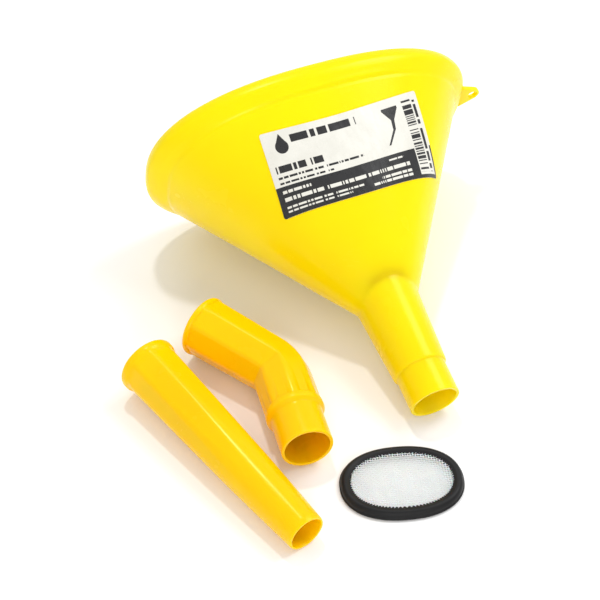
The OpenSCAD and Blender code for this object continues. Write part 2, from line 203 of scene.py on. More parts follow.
def lip_spec(up, rolled):
    return [WIDEST_Z + up * LIP_H, WIDEST_A - rolled * LIP_IN[0], WIDEST_B - rolled * LIP_IN[1], MOUTH_POWER]


# %% The funnel's skin
collar = [list(cone_oval(0.985)), [CREASE_Z + 0.1, CREASE_A - 0.3, CREASE_B - 0.3, CONE_POWER],
          [CREASE_Z + 1.0, CREASE_A + 0.9, CREASE_B + 0.9, MOUTH_POWER],
          collar_spec(CREASE_Z + 2.6, 0.52), collar_spec(CREASE_Z + 4.4, 0.80),
          collar_spec(WIDEST_Z - 1.2, 0.96),
          lip_spec(0, 0), lip_spec(0.45, 0.16), lip_spec(0.8, 0.5), lip_spec(1, 1)]
collar_outside = rounded(collar, radius=0.8, steps=5)
lip_edge = [[z, a - 0.55 * WALL, b - 0.55 * WALL, p] for z, a, b, p in collar[-1:]]
collar_inside = [[min(z, FUNNEL_H - 0.25), a - WALL, b - WALL, p]
                 for z, a, b, p in reversed(collar_outside)]
neck_out = rounded([[0, SPIGOT_R - 0.15], [0.25, SPIGOT_R], [FUNNEL_SPIGOT - 0.1, SPIGOT_R],
                    [FUNNEL_SPIGOT + 0.25, NECK_END_R - 0.1], [FUNNEL_SPIGOT + 1.2, NECK_END_R + 0.05],
                    [NECK_TOP_Z - 1, NECK_TOP_R - 0.06]], 0.3)
neck_in = [[NECK_TOP_Z, NECK_TOP_R - WALL], [FUNNEL_SPIGOT + 2, NECK_END_R - WALL],
           [FUNNEL_SPIGOT - 1, SPIGOT_R - SPIGOT_WALL], [0.15, SPIGOT_R - SPIGOT_WALL],
           [0, SPIGOT_R - SPIGOT_WALL + 0.15]]
cone_inside = [cone_oval(s) for s in np.linspace(0.97, 0.03, 14)]
cone_shares = np.concatenate([np.linspace(0, ARCH_TOP, 22), np.linspace(ARCH_TOP, 0.98, 12)[1:]])
rings = [oval(z, r, r, 2) for z, r in neck_out] + [cone_ring(s) for s in cone_shares]
rings += [oval(*c) for c in collar_outside + lip_edge + collar_inside]
rings += [oval(z, a - WALL, b - WALL, p) for z, a, b, p in cone_inside]
rings += [oval(z, r, r, 2) for z, r in neck_in]
funnel = skin("funnel_skin", rings, FUNNEL_PLACE, keep_sharp=55)

# %% [markdown]
# The hanging lug is a flat tab at one end of the collar with a hole through it. It is the same kind of loft,
# run round the hole: the outline's points are where rays from the hole meet the tab's edges, so the outer and
# inner rings match point for point and the face between them needs no boolean.

# %% The hanging lug
LUG_BASE_W, LUG_END_R, LUG_HOLE_R, LUG_T, LUG_DROP = 12, 3.0, 1.8, 1.8, 4.6
LUG_REACH, LUG_SUNK, LUG_SIDES = 7.4, 1.7, 96
LUG_END_X, LUG_ROOT_X = WIDEST_A + LUG_REACH - LUG_END_R, WIDEST_A - LUG_SUNK


def tab_outline():
    """Points round a tab with a round end, on rays from the middle of its hole."""
    run = LUG_END_X - LUG_ROOT_X
    turn = math.atan2(LUG_BASE_W / 2 - LUG_END_R, run)
    cx, cy = circle(LUG_SIDES)
    side = LUG_END_R / np.maximum(1e-6, cx * math.sin(turn) + np.abs(cy) * math.cos(turn))
    root = run / np.maximum(1e-6, -cx)
    reach = np.where(cx > math.sin(turn), LUG_END_R, np.minimum(side, root))
    return cx * reach + LUG_END_X, cy * reach, cx * LUG_HOLE_R + LUG_END_X, cy * LUG_HOLE_R


outer_x, outer_y, hole_x, hole_y = tab_outline()


def tab_ring(outward, z):
    """outward is 1 on the tab's edge and 0 on its hole."""
    return np.stack([mix(hole_x, outer_x, outward), mix(hole_y, outer_y, outward),
                     np.full(LUG_SIDES, FUNNEL_H - LUG_DROP - LUG_T + z)], axis=1)


lug_path = rounded([[0.5, 0], [0.97, 0], [1, 0.3], [1, LUG_T - 0.3], [0.97, LUG_T], [0.1, LUG_T],
                    [0, LUG_T - 0.25], [0, 0.25], [0.1, 0], [0.45, 0]], 0.1, 2)
lug = skin("hanging_lug", [tab_ring(*p) for p in lug_path], FUNNEL_PLACE)

# %% [markdown]
# The elbow and the nozzle are tubes with eight flats, so that a hand can grip them when they are oily. A
# flatted tube is a circle held in by eight planes. The planes are blended with the circle a little, which
# gives the soft ridge that a worn mould leaves.

# %% A ring of a flatted tube
FLATS = 8
angle_t = np.arctan2(sin_t, cos_t)
flat_turn = angle_t % (2 * math.pi / FLATS) - math.pi / FLATS  # from the middle of the nearest flat
ROUND = 1000.0  # stands for the width across the flats of a plain round tube
RIDGE = 120  # how crisp the ridge between two flats is; a higher power is crisper


def tube_reach(radius, across):
    """Distance to the skin at every angle, for a corner radius and a distance across the flats."""
    plane = across / 2 / np.cos(flat_turn)
    return (radius ** -RIDGE + plane ** -RIDGE) ** (-1 / RIDGE)


def tube_ring(z, radius, across=ROUND):
    reach = tube_reach(radius, across) if across < ROUND else np.full(SIDES, radius)
    return np.stack([cos_t * reach, sin_t * reach, np.full(SIDES, float(z))], axis=1)


# %% The elbow's sizes
SOCKET_R, SOCKET_SPARE = 9.8, 0.8
ELBOW_SPIGOT, BEND_R, BEND = 14.7, 18, math.radians(37.5)
LEG_1, LEG_2 = 37.5, 20
MOUTH_AF, BEND_AF, CORNER = 21.9, 20.6, 1.055
ELBOW_LIP_R, ELBOW_LIP_H = 11.85, 1.8
BEAD_R, BEAD_H, EDGE = 11.05, 3.4, 0.8  # EDGE: the height of the slope that ends a bead or a lip
ELBOW_WALL = 1.3
STRAIGHT_1, STRAIGHT_2 = (leg - BEND_R * math.tan(BEND / 2) for leg in (LEG_1, LEG_2))
BEND_RUN = BEND_R * BEND

bead_reach = LEG_1 + (LEG_2 + BEAD_H - EDGE) * math.cos(BEND)
elbow_tilt = lean(ELBOW_LIP_R - BEAD_R, bead_reach - ELBOW_LIP_H)
elbow_axis = (ELBOW_LIP_R * math.cos(math.radians(elbow_tilt))
              + ELBOW_LIP_H * math.sin(math.radians(elbow_tilt)))
ELBOW_PLACE = laid((-40.94, -4.35), elbow_axis, 90 + elbow_tilt, 53)

# %% [markdown]
# The elbow's bend is round on the outside and folded on the inside, where the two flats meet in a crisp
# crease. Both are swept together: each point of a ring takes a share of the round way and a share of the
# folded way, and the inner side takes more of the fold.

# %% Sweeping the elbow round its bend
FOLD_FROM, FOLD_FADE = -0.2, 0.5  # where the fold takes over and how soon, in shares of the half width


def bent(ring, run):
    """A flat ring moved to its place along the elbow's path, run millimetres from the mouth."""
    x, y = ring[:, 0], ring[:, 1]
    if run <= STRAIGHT_1:
        return np.stack([x, y, np.full(SIDES, run)], axis=1)
    t = min(1.0, (run - STRAIGHT_1) / BEND_RUN)
    past = max(0.0, run - STRAIGHT_1 - BEND_RUN)
    turn = t * BEND
    around = np.stack([-BEND_R + (BEND_R + x) * math.cos(turn), y,
                       STRAIGHT_1 + (BEND_R + x) * math.sin(turn)], axis=1)
    fold = (BEND_R + x) * math.tan(BEND / 2)
    leg = np.tile([-math.sin(BEND), 0, math.cos(BEND)], (SIDES, 1))
    corner = np.stack([x, y, STRAIGHT_1 + fold], axis=1)
    folded = (np.stack([x, y, STRAIGHT_1 + fold * 2 * t], axis=1) if t < 0.5
              else corner + leg * (fold * (2 * t - 1))[:, None])
    inner = smooth_step((-x / BEND_AF * 2 - FOLD_FROM) / FOLD_FADE)[:, None]
    return mix(around, folded, inner) + leg * past


# %% The elbow's skin
BEAD_AT = STRAIGHT_1 + BEND_RUN + STRAIGHT_2
ELBOW_END = BEAD_AT + BEAD_H + ELBOW_SPIGOT
PASSAGE_R, BORE_R = BEND_AF / 2 - ELBOW_WALL, SPIGOT_R - SPIGOT_WALL
ELBOW_SOCKET = FUNNEL_SPIGOT + SOCKET_SPARE
elbow_lip = rounded([[0, ELBOW_LIP_R - 0.75], [0.05, ELBOW_LIP_R - 0.35], [0.6, ELBOW_LIP_R],
                     [ELBOW_LIP_H - 0.3, ELBOW_LIP_R], [ELBOW_LIP_H + 0.2, ELBOW_LIP_R - 0.4]], 0.2, 2)
leg_runs = np.concatenate([np.linspace(ELBOW_LIP_H + 0.5, STRAIGHT_1, 8),
                           STRAIGHT_1 + np.linspace(0, 1, 27)[1:] * BEND_RUN, [BEAD_AT - 0.4]])
leg_flats = [mix(MOUTH_AF, BEND_AF, min(1, run / STRAIGHT_1)) for run in leg_runs]
bead_and_spigot = rounded([
    [-0.15, BEND_AF * CORNER / 2 - 0.1], [0, BEAD_R - 0.05], [0.5, BEAD_R],
    [BEAD_H - EDGE - 0.4, BEAD_R - 0.05], [BEAD_H, SPIGOT_R + 0.1], [BEAD_H + 1, SPIGOT_R],
    [BEAD_H + ELBOW_SPIGOT - 0.25, SPIGOT_R], [BEAD_H + ELBOW_SPIGOT, SPIGOT_R - 0.2],
    [BEAD_H + ELBOW_SPIGOT, SPIGOT_R - 0.7]], 0.3)
spigot_bore = [(ELBOW_END - 0.15, BORE_R), (BEAD_AT + 0.5, BORE_R), (BEAD_AT - 0.5, PASSAGE_R)]
bend_bore = [(STRAIGHT_1 + s * BEND_RUN, PASSAGE_R) for s in np.linspace(1, 0, 20)]
socket_bore = [(ELBOW_SOCKET + 0.2, PASSAGE_R), (ELBOW_SOCKET, PASSAGE_R + 0.2), (ELBOW_SOCKET, SOCKET_R),
               (0.5, SOCKET_R), (0.1, SOCKET_R + 0.15)]
elbow_rings = [tube_ring(z, r) for z, r in elbow_lip]
elbow_rings += [tube_ring(run, af * CORNER / 2, af) for run, af in zip(leg_runs, leg_flats)]
elbow_rings += [tube_ring(BEAD_AT + z, r) for z, r in bead_and_spigot]
elbow_rings += [tube_ring(z, r) for z, r in spigot_bore + bend_bore + socket_bore]
elbow = skin("elbow_skin", [bent(r, r[0, 2]) for r in elbow_rings], ELBOW_PLACE, keep_sharp=50)
print("the elbow's middle line is", round(ELBOW_END, 1), "mm long")

# %% [markdown]
# The nozzle tapers to a tip that enters a filler. Its flats are straight planes while the barrel's own taper
# gathers towards the tip, so the flats grow shallow and run out by themselves about half way.

# %% The nozzle's skin
NOZZLE_LEN, NOZZLE_LIP_R, NOZZLE_LIP_H = 96, 11.5, 3.2
NOZZLE_TOP_R, NOZZLE_TIP_R, TAPER, FLATS_LEN = 11.0, 7.3, 1.35, 55
NOZZLE_SOCKET, NOZZLE_WALL = ELBOW_SPIGOT + SOCKET_SPARE, 1.0
TIP_LAND, WALL_EXTRA = 6, 0.25  # above its last millimetres the barrel's wall is thicker
FLATS_IN, FLATS_CUT = 0.5, 0.3  # how far the flats stand in: at the mouth, and all the way


def barrel_r(z):
    share = max(0, (z - NOZZLE_LIP_H) / (NOZZLE_LEN - NOZZLE_LIP_H))
    return mix(NOZZLE_TOP_R, NOZZLE_TIP_R, share ** TAPER)


def barrel_flats(z):
    return mix(2 * NOZZLE_TOP_R - FLATS_IN, 2 * barrel_r(FLATS_LEN), z / FLATS_LEN) - FLATS_CUT


rest_z = NOZZLE_LIP_H - EDGE
belly = np.linspace(NOZZLE_LIP_H + 1, NOZZLE_LEN, 60)
nozzle_tilt = min(lean(NOZZLE_LIP_R - barrel_r(z), z - rest_z) for z in belly)
nozzle_axis = (NOZZLE_LIP_R * math.cos(math.radians(nozzle_tilt))
               + rest_z * math.sin(math.radians(nozzle_tilt)))
NOZZLE_PLACE = laid((-60.64, -23.55), nozzle_axis, 90 + nozzle_tilt, 38.3)

nozzle_rings = [tube_ring(z, r) for z, r in rounded(
    [[0.05, NOZZLE_LIP_R - 1], [0, NOZZLE_LIP_R - 0.4], [0.6, NOZZLE_LIP_R], [rest_z, NOZZLE_LIP_R - 0.05],
     [NOZZLE_LIP_H + 0.2, NOZZLE_TOP_R + 0.02]], 0.35)]
nozzle_rings += [tube_ring(z, barrel_r(z), barrel_flats(z))
                 for z in np.linspace(NOZZLE_LIP_H + 0.8, NOZZLE_LEN - 0.5, 46)]
nozzle_rings += [tube_ring(NOZZLE_LEN, NOZZLE_TIP_R - 0.2),
                 tube_ring(NOZZLE_LEN, NOZZLE_TIP_R - NOZZLE_WALL + 0.2)]
nozzle_rings += [tube_ring(z, barrel_r(z) - NOZZLE_WALL - (WALL_EXTRA if z < NOZZLE_LEN - TIP_LAND else 0))
                 for z in np.linspace(NOZZLE_LEN - 0.3, NOZZLE_SOCKET + 0.2, 24)]
nozzle_rings += [tube_ring(NOZZLE_SOCKET, SOCKET_R), tube_ring(0.5, SOCKET_R), tube_ring(0.1, SOCKET_R + 0.2)]
nozzle = skin("nozzle_skin", nozzle_rings, NOZZLE_PLACE, keep_sharp=50)

# %% [markdown]
# The strainer's ring is moulded round the edge of the mesh. Outside it has a step that finds its seat in the
# cone. Inside, a thin film of plastic has crept along the weave and stopped at the threads, so its edge is
# toothed at the weave's own spacing.

# %% The strainer's ring
RING_A, RING_B, RING_POWER, RING_W, RING_H = 22.47, 16.22, 2.25, 3.6, 3.6
MESH_T, MESH_SUNK, WEAVE = 0.6, 0.7, 0.92
MESH_Z = RING_H - MESH_T - MESH_SUNK
MESH_TOP = MESH_Z + MESH_T
GRIP = 0.3  # how far the ring closes over the mesh's edge
STRAINER_PLACE = laid((32.86, -71.55), 0, 0, 6)


def ring_oval(z, inset):
    return oval(z, RING_A - inset, RING_B - inset, RING_POWER)


TOOTH_STEP, TOOTH_LEN = 3, 0.65
teeth = np.where(np.arange(SIDES) % TOOTH_STEP == 0, 0.0, TOOTH_LEN)


def toothed(z, inset):
    """A ring whose points stand in by the tooth they belong to."""
    ring = ring_oval(z, inset)
    ring[:, :2] *= (1 - teeth / np.hypot(ring[:, 0], ring[:, 1]))[:, None]
    return ring


ring_path = rounded([[0, RING_W - 0.6], [0, 0.5], [0.5, 0.05], [1.15, 0], [1.35, 0.42], [2.2, 0.5],
                     [2.9, 0.85], [3.4, 1.4], [RING_H, 2.1], [3.5, 2.8], [3.25, RING_W - 0.3],
                     [MESH_TOP + 0.15, RING_W]], 0.45, 3)
ring_rings = [ring_oval(*p) for p in ring_path]
ring_rings += [toothed(MESH_TOP + 0.12, RING_W), toothed(MESH_TOP - 0.05, RING_W)]
ring_rings += [ring_oval(MESH_TOP - 0.1, RING_W - GRIP), ring_oval(MESH_Z, RING_W - GRIP),
               toothed(MESH_Z + 0.05, RING_W), toothed(MESH_Z - 0.12, RING_W), ring_oval(0.6, RING_W)]
strainer_ring = skin("ring_skin", ring_rings, STRAINER_PLACE, keep_sharp=60)

# %% [markdown]
# The mesh is plain weave: every thread goes over one and under the next. Each thread is a thin tube along a
# wave, and its neighbour's wave is turned over, so the crossings lock as they do in cloth. Real threads
# catch the light in a way that a flat picture of a mesh cannot, and they let the surface show between them.

# %% The woven mesh
THREAD_R, THREAD_SIDES, STEPS_PER_CROSSING = 0.15, 6, 4
THREAD_HELD = 0.6  # how far each thread runs into the ring


def weave_threads():
    """Tubes along both directions of the weave, ended where the ring holds them."""
    a, b = RING_A - RING_W + THREAD_HELD, RING_B - RING_W + THREAD_HELD
    verts, faces = [], []
    for across, along, lift in ((a, b, 0), (b, a, 1)):
        for n in range(-int(across / WEAVE), int(across / WEAVE) + 1):
            offset = n * WEAVE
            half = along * (1 - (abs(offset) / across) ** RING_POWER) ** (1 / RING_POWER)
            if half < WEAVE:
                continue
            s = np.arange(-half, half, WEAVE / STEPS_PER_CROSSING)
            wave = np.cos(s / WEAVE * math.pi) * (1 if (n + lift) % 2 else -1) * (MESH_T / 2 - THREAD_R)
            base = len(verts)
            for k in range(THREAD_SIDES):
                turn = 2 * math.pi * k / THREAD_SIDES
                side, up = THREAD_R * math.cos(turn), THREAD_R * math.sin(turn)
                flat, height = np.full(len(s), offset + side), MESH_Z + MESH_T / 2 + wave + up
                verts += np.stack([s, flat, height] if lift else [flat, s, height], 1).tolist()
            for k in range(THREAD_SIDES):
                p, q = base + k * len(s), base + (k + 1) % THREAD_SIDES * len(s)
                faces += [[p + i, q + i, q + i + 1, p + i + 1] for i in range(len(s) - 1)]
    return verts, faces


weave = piece_from("woven_mesh", *weave_threads(), STRAINER_PLACE)

# %% [markdown]
# The label is a printed film stuck across the cone's front by hand, a little aslant. It follows the oval, so
# its points are found on the cone and lifted a hair clear of it. Its own length and height, in millimetres
# from its middle, go into a UV map, and the printing is worked out from them.

# %% The label
LABEL_LEN, LABEL_WID, LABEL_T = 65, 30, 0.12
LABEL_SHIFT, LABEL_SLANT, LABEL_LIFT = 3.3, math.radians(0.8), 0.06
LABEL_DROP, LABEL_COLS, LABEL_ROWS = 10.5, 61, 25
LABEL_MID = CREASE_Z - LABEL_DROP - LABEL_WID / 2
BOW_FOOT, BOW_HEAD = 0.0037, 0.0027  # how a flat film rides up the sides of a cone, per millimetre squared
CORNER_R, CORNER_STEP = 0.8, 0.25


def on_cone(u, w, lift):
    x = LABEL_SHIFT + u * math.cos(LABEL_SLANT) - w * math.sin(LABEL_SLANT)
    z = LABEL_MID + u * math.sin(LABEL_SLANT) + w * math.cos(LABEL_SLANT)
    z += x * x * mix(BOW_FOOT, BOW_HEAD, w / LABEL_WID + 0.5)
    s = (z - NECK_TOP_Z) / (CREASE_Z - NECK_TOP_Z)
    _, a, b, power = cone_oval(s)
    return [x, -b * (1 - (abs(x) / a) ** power) ** (1 / power) - lift, z]


def label_half(u):
    """Half the label's height at u, less at its rounded corners."""
    past = max(0, abs(u) - (LABEL_LEN / 2 - CORNER_R))
    return LABEL_WID / 2 - CORNER_R + math.sqrt(max(0, CORNER_R ** 2 - past ** 2))


def label_film():
    half, rows = LABEL_LEN / 2, LABEL_ROWS
    middle = np.linspace(-half + CORNER_R, half - CORNER_R, LABEL_COLS)
    us = np.concatenate([[-half, -half + CORNER_STEP], middle, [half - CORNER_STEP, half]])
    cols = len(us)
    grid = [(u, label_half(u) * (2 * j / (rows - 1) - 1)) for u in us for j in range(rows)]
    low = len(grid)
    verts = [on_cone(u, w, lift) for lift in (LABEL_LIFT + LABEL_T, LABEL_LIFT) for u, w in grid]
    cells = [c * rows + r for c in range(cols - 1) for r in range(rows - 1)]
    top = [(c, c + rows, c + rows + 1, c + 1) for c in cells]
    under = [tuple(low + i for i in reversed(f)) for f in top]
    outline = ([c * rows for c in range(cols)] + [(cols - 1) * rows + r for r in range(1, rows)]
               + [c * rows + rows - 1 for c in range(cols - 2, -1, -1)] + list(range(rows - 2, 0, -1)))
    rim = [(a, low + a, low + b, b) for a, b in zip(outline, outline[1:] + outline[:1])]
    piece = piece_from("label_film", verts, top + rim + under, FUNNEL_PLACE, keep_sharp=40)
    layer = piece.data.uv_layers.new(name="film")
    for loop in piece.data.loops:
        layer.data[loop.index].uv = grid[loop.vertex_index % low]
    return piece


label = label_film()
print("label points:", len(label.data.vertices))

# %% [markdown]
# Now the finishes. A small helper adds nodes and joins them, so that each material below reads as a recipe.

# %% Node helpers
class Recipe:
    """Adds nodes to a tree: a socket's value is a number, a colour or another node's output."""

    def __init__(self, tree):
        self.tree = tree

    def add(self, kind, out=0, settings=(), **inputs):
        node = self.tree.nodes.new(kind)
        for key, value in settings:
            setattr(node, key, value)
        for key, value in inputs.items():
            name = int(key[1:]) if key[0] == "i" and key[1:].isdigit() else key.replace("_", " ")
            self.join(node.inputs[name], value)
        return node.outputs[out]

    def join(self, socket, value):
        if isinstance(value, bpy.types.NodeSocket):
            self.tree.links.new(value, socket)
        else:
            socket.default_value = value

    def math(self, operation, a, b=0.0, c=0.0):
        return self.add("ShaderNodeMath", settings=[("operation", operation)], i0=a, i1=b, i2=c)

    def between(self, value, low, high, new_low, new_high):
        return self.add("ShaderNodeMapRange", Value=value, From_Min=low, From_Max=high, To_Min=new_low,
                        To_Max=new_high)

    def blend(self, share, a, b):
        node = self.tree.nodes.new("ShaderNodeMix")
        node.data_type = "RGBA"
        for socket, value in zip((node.inputs[0], node.inputs[6], node.inputs[7]), (share, a, b)):
            self.join(socket, value)
        return node.outputs[2]

    def noise(self, vector, scale, detail=3.0, roughness=0.5):
        return self.add("ShaderNodeTexNoise", Vector=vector, Scale=scale, Detail=detail, Roughness=roughness)

    def place(self):
        return self.add("ShaderNodeTexCoord", 3)


def group(name, inputs, outputs):
    """An empty node group with named sockets, and its input and output nodes."""
    tree = bpy.data.node_groups.new(name, "ShaderNodeTree")
    for socket_name, kind, default in inputs:
        socket = tree.interface.new_socket(name=socket_name, in_out="INPUT", socket_type=kind)
        if default is not None:
            socket.default_value = default
    for socket_name, kind in outputs:
        tree.interface.new_socket(name=socket_name, in_out="OUTPUT", socket_type=kind)
    return tree, tree.nodes.new("NodeGroupInput"), tree.nodes.new("NodeGroupOutput")


FLOAT, COLOUR, VECTOR = "NodeSocketFloat", "NodeSocketColor", "NodeSocketVector"

# %% [markdown]
# Moulded polyethylene is never one flat colour. Pigment swirls as the melt flows, the skin has a faint
# orange peel, and handling leaves soft scuffs that take the gloss down. One group gives all of that to every
# plastic here, each with its own colours and amounts. The swirls are read from the piece's own coordinates
# in metres, so the scales below are in waves per metre.

# %% Shared group: moulded plastic
SCRATCHES, SCUFF_PATCHES, GLOSS_CLOUDS, ORANGE_PEEL, SINK_MARKS = 210.0, 32.0, 60.0, 520.0, 45.0  # waves
SINK_DEPTH, SCUFF_DEPTH = 4.0, 0.15  # against the orange peel's own height
SCUFF_DULLING = 0.25  # roughness that a full scuff adds


def moulded_group():
    tree, given, out = group("moulded skin", [
        ("Colour", COLOUR, (1, 1, 1, 1)), ("Deep Colour", COLOUR, (0, 0, 0, 1)), ("Swirl", FLOAT, 0.5),
        ("Swirl Scale", FLOAT, 25.0), ("Gloss Low", FLOAT, 0.3), ("Gloss High", FLOAT, 0.45),
        ("Peel", FLOAT, 0.2), ("Scuff", FLOAT, 0.3)],
        [("Colour", COLOUR), ("Roughness", FLOAT), ("Height", FLOAT)])
    r = Recipe(tree)
    g = given.outputs
    place = r.place()
    swirl = r.noise(place, g["Swirl Scale"], 4.0, 0.55)
    share = r.math("MULTIPLY", r.between(swirl, 0.35, 0.7, 0.0, 1.0), g["Swirl"])
    colour = r.blend(share, g["Colour"], g["Deep Colour"])
    stretched = r.add("ShaderNodeMapping", Vector=place, Rotation=(0.3, 0.7, 0.5), Scale=(1.0, 9.0, 3.0))
    scratch = r.between(r.noise(stretched, SCRATCHES, 5.0, 0.62), 0.60, 0.72, 0.0, 1.0)
    scuff = r.math("MULTIPLY", scratch, r.between(r.noise(place, SCUFF_PATCHES, 2.0), 0.45, 0.65, 0.0, 1.0))
    scuff = r.math("MULTIPLY", scuff, g["Scuff"])
    rough = r.between(r.noise(place, GLOSS_CLOUDS, 3.0), 0.3, 0.7, g["Gloss Low"], g["Gloss High"])
    rough = r.math("ADD", rough, r.math("MULTIPLY", scuff, SCUFF_DULLING))
    peel = r.math("MULTIPLY", r.noise(place, ORANGE_PEEL, 2.0), g["Peel"])
    sink = r.math("MULTIPLY", r.noise(place, SINK_MARKS, 1.0), r.math("MULTIPLY", g["Peel"], SINK_DEPTH))
    height = r.math("SUBTRACT", r.math("ADD", peel, sink), r.math("MULTIPLY", scuff, SCUFF_DEPTH))
    for name, value in (("Colour", colour), ("Roughness", rough), ("Height", height)):
        r.join(out.inputs[name], value)
    return tree


MOULDED = moulded_group()
print(MOULDED.name, "has", len(MOULDED.nodes), "nodes")

# %% Materials from the group
def principled(name):
    """A new material, its Principled shader and a recipe for its tree."""
    material = bpy.data.materials.new(name)
    material.use_nodes = True
    shader = material.node_tree.nodes["Principled BSDF"]
    return material, shader, Recipe(material.node_tree)


def put_group(recipe, tree, **values):
    node = recipe.tree.nodes.new("ShaderNodeGroup")
    node.node_tree = tree
    for key, value in values.items():
        recipe.join(node.inputs[key.replace("_", " ")], value)
    return node.outputs


def bumped(recipe, height, distance):
    return recipe.add("ShaderNodeBump", Strength=1.0, Distance=distance, Height=height)


def plastic(name, colour, deep, relief=0.0, **amounts):
    """A material from the moulded group and its shader's sockets. relief is the skin's depth in metres."""
    material, shader, r = principled(name)
    made = put_group(r, MOULDED, Colour=(*colour, 1), Deep_Colour=(*deep, 1), **amounts)
    r.join(shader.inputs["Base Color"], made["Colour"])
    r.join(shader.inputs["Roughness"], made["Roughness"])
    if relief:
        r.join(shader.inputs["Normal"], bumped(r, made["Height"], relief))
    print(name, "made from", MOULDED.name)
    return material, shader.inputs


# %% [markdown]
# Yellow polyethylene lets light in a little way and hands it back warmer. The shader's own subsurface does
# that, with a reach of a few millimetres in red and green and almost none in blue. The funnel is lemon; the
# elbow and nozzle come from another batch and are golden.

# %% Lemon and golden plastic
def yellow(name, colour, deep, reach):
    """reach is how far red, green and blue light spread, in parts of the subsurface scale."""
    material, sockets = plastic(name, colour, deep, relief=0.00022, Swirl=0.45, Swirl_Scale=16.0,
                                Gloss_Low=0.2, Gloss_High=0.29, Peel=0.08, Scuff=0.4)
    sockets["IOR"].default_value = 1.5
    sockets["Specular IOR Level"].default_value = 0.26
    sockets["Specular Tint"].default_value = (1.0, 0.92, 0.42, 1)
    sockets["Subsurface Weight"].default_value = 0.5
    sockets["Subsurface Radius"].default_value = reach
    sockets["Subsurface Scale"].default_value = 0.004
    return material


LEMON = yellow("lemon_plastic", (0.86, 0.67, 0.001), (0.88, 0.53, 0.001), (1.0, 0.8, 0.08))
GOLDEN = yellow("golden_plastic", (0.97, 0.54, 0.0005), (0.97, 0.46, 0.0005), (1.0, 0.75, 0.05))

# %% [markdown]
# The ring is a softer black plastic with a satin skin that holds a little dust. The threads are clear white
# nylon, bright and slightly see-through.

# %% Black ring and white threads
BLACK, sockets = plastic("black_ring", (0.005, 0.005, 0.0055), (0.012, 0.012, 0.0125), relief=0.00015,
                         Swirl=0.6, Swirl_Scale=90.0, Gloss_Low=0.42, Gloss_High=0.58, Peel=0.35, Scuff=0.8)
sockets["Specular IOR Level"].default_value = 0.25
NYLON, sockets = plastic("white_mesh", (0.86, 0.88, 0.88), (0.74, 0.78, 0.79), Swirl=0.7,
                         Swirl_Scale=140.0, Gloss_Low=0.3, Gloss_High=0.42, Peel=0.1, Scuff=0.2)
sockets["Subsurface Weight"].default_value = 0.3
sockets["Subsurface Scale"].default_value = 0.0006

# %% [markdown]
# The label is printed in black on off-white film, so its picture is a sum of black and white patches. One
# group makes any patch with four straight sides, level at the top and bottom, which does for bars, bands,
# slanted tubes and funnels. Another breaks a bar into runs like words. What a real label would spell out is
# kept to plain bars here, and its stripes are drawn from noise and say nothing.

# %% Shared groups: printed patches
def patch_group():
    tree, given, out = group("printed patch", [
        ("Film", VECTOR, None), ("Low", FLOAT, 0.0), ("High", FLOAT, 1.0), ("Low Mid", FLOAT, 0.0),
        ("High Mid", FLOAT, 0.0), ("Low Half", FLOAT, 1.0), ("High Half", FLOAT, 1.0)], [("Mask", FLOAT)])
    r = Recipe(tree)
    g = given.outputs
    split = tree.nodes.new("ShaderNodeSeparateXYZ")
    r.join(split.inputs[0], g["Film"])
    u, w = split.outputs[0], split.outputs[1]
    share = r.math("DIVIDE", r.math("SUBTRACT", w, g["Low"]), r.math("SUBTRACT", g["High"], g["Low"]))
    middle, half = (
        r.math("ADD", g["Low " + part],
               r.math("MULTIPLY", share, r.math("SUBTRACT", g["High " + part], g["Low " + part])))
        for part in ("Mid", "Half"))
    beside = r.math("LESS_THAN", r.math("ABSOLUTE", r.math("SUBTRACT", u, middle)), half)
    within = r.math("LESS_THAN", r.math("ABSOLUTE", r.math("SUBTRACT", share, 0.5)), 0.5)
    r.join(out.inputs["Mask"], r.math("MULTIPLY", beside, within))
    return tree


def runs_group():
    tree, given, out = group("broken runs", [
        ("Film", VECTOR, None), ("Across", VECTOR, (1, 0, 0)), ("Step", FLOAT, 1.0),
        ("Share", FLOAT, 0.5)], [("Mask", FLOAT)])
    r = Recipe(tree)
    g = given.outputs
    along = tree.nodes.new("ShaderNodeVectorMath")
    along.operation = "DOT_PRODUCT"
    r.join(along.inputs[0], g["Film"])
    r.join(along.inputs[1], g["Across"])
    step = r.math("FLOOR", r.math("DIVIDE", along.outputs["Value"], g["Step"]))
    chance = r.add("ShaderNodeTexWhiteNoise", settings=[("noise_dimensions", "1D")], W=step)
    r.join(out.inputs["Mask"], r.math("LESS_THAN", chance, g["Share"]))
    return tree


PATCH, RUNS = patch_group(), runs_group()
print(PATCH.name, "and", RUNS.name, "have", len(PATCH.nodes), "and", len(RUNS.nodes), "nodes")

# %% Marks on the film
PRINT, shader, r = principled("label_print")
film = r.add("ShaderNodeUVMap", settings=[("uv_map", "film")])


def patch(low, high, mid, half, high_mid=None, high_half=None):
    return put_group(r, PATCH, Film=film, Low=low, High=high, Low_Mid=mid, Low_Half=half,
                     High_Mid=mid if high_mid is None else high_mid,
                     High_Half=half if high_half is None else high_half)["Mask"]


def disc(mid, height, radius):
    away = r.tree.nodes.new("ShaderNodeVectorMath")
    away.operation = "DISTANCE"
    r.join(away.inputs[0], film)
    away.inputs[1].default_value = (mid, height, 0)
    return r.math("LESS_THAN", away.outputs["Value"], radius)


def runs(bar, **amounts):
    return r.math("MULTIPLY", bar, put_group(r, RUNS, Film=film, **amounts)["Mask"])


def words(left, right, low, high, step=0.42, share=0.7):
    """A bar broken into runs as high as a line; step is the shortest run, share the part that is ink."""
    bar = patch(low, high, (left + right) / 2, (right - left) / 2)
    return runs(bar, Step=step, Share=share)


def together(masks):
    total = masks[0]
    for mask in masks[1:]:
        total = r.math("MAXIMUM", total, mask)
    return total


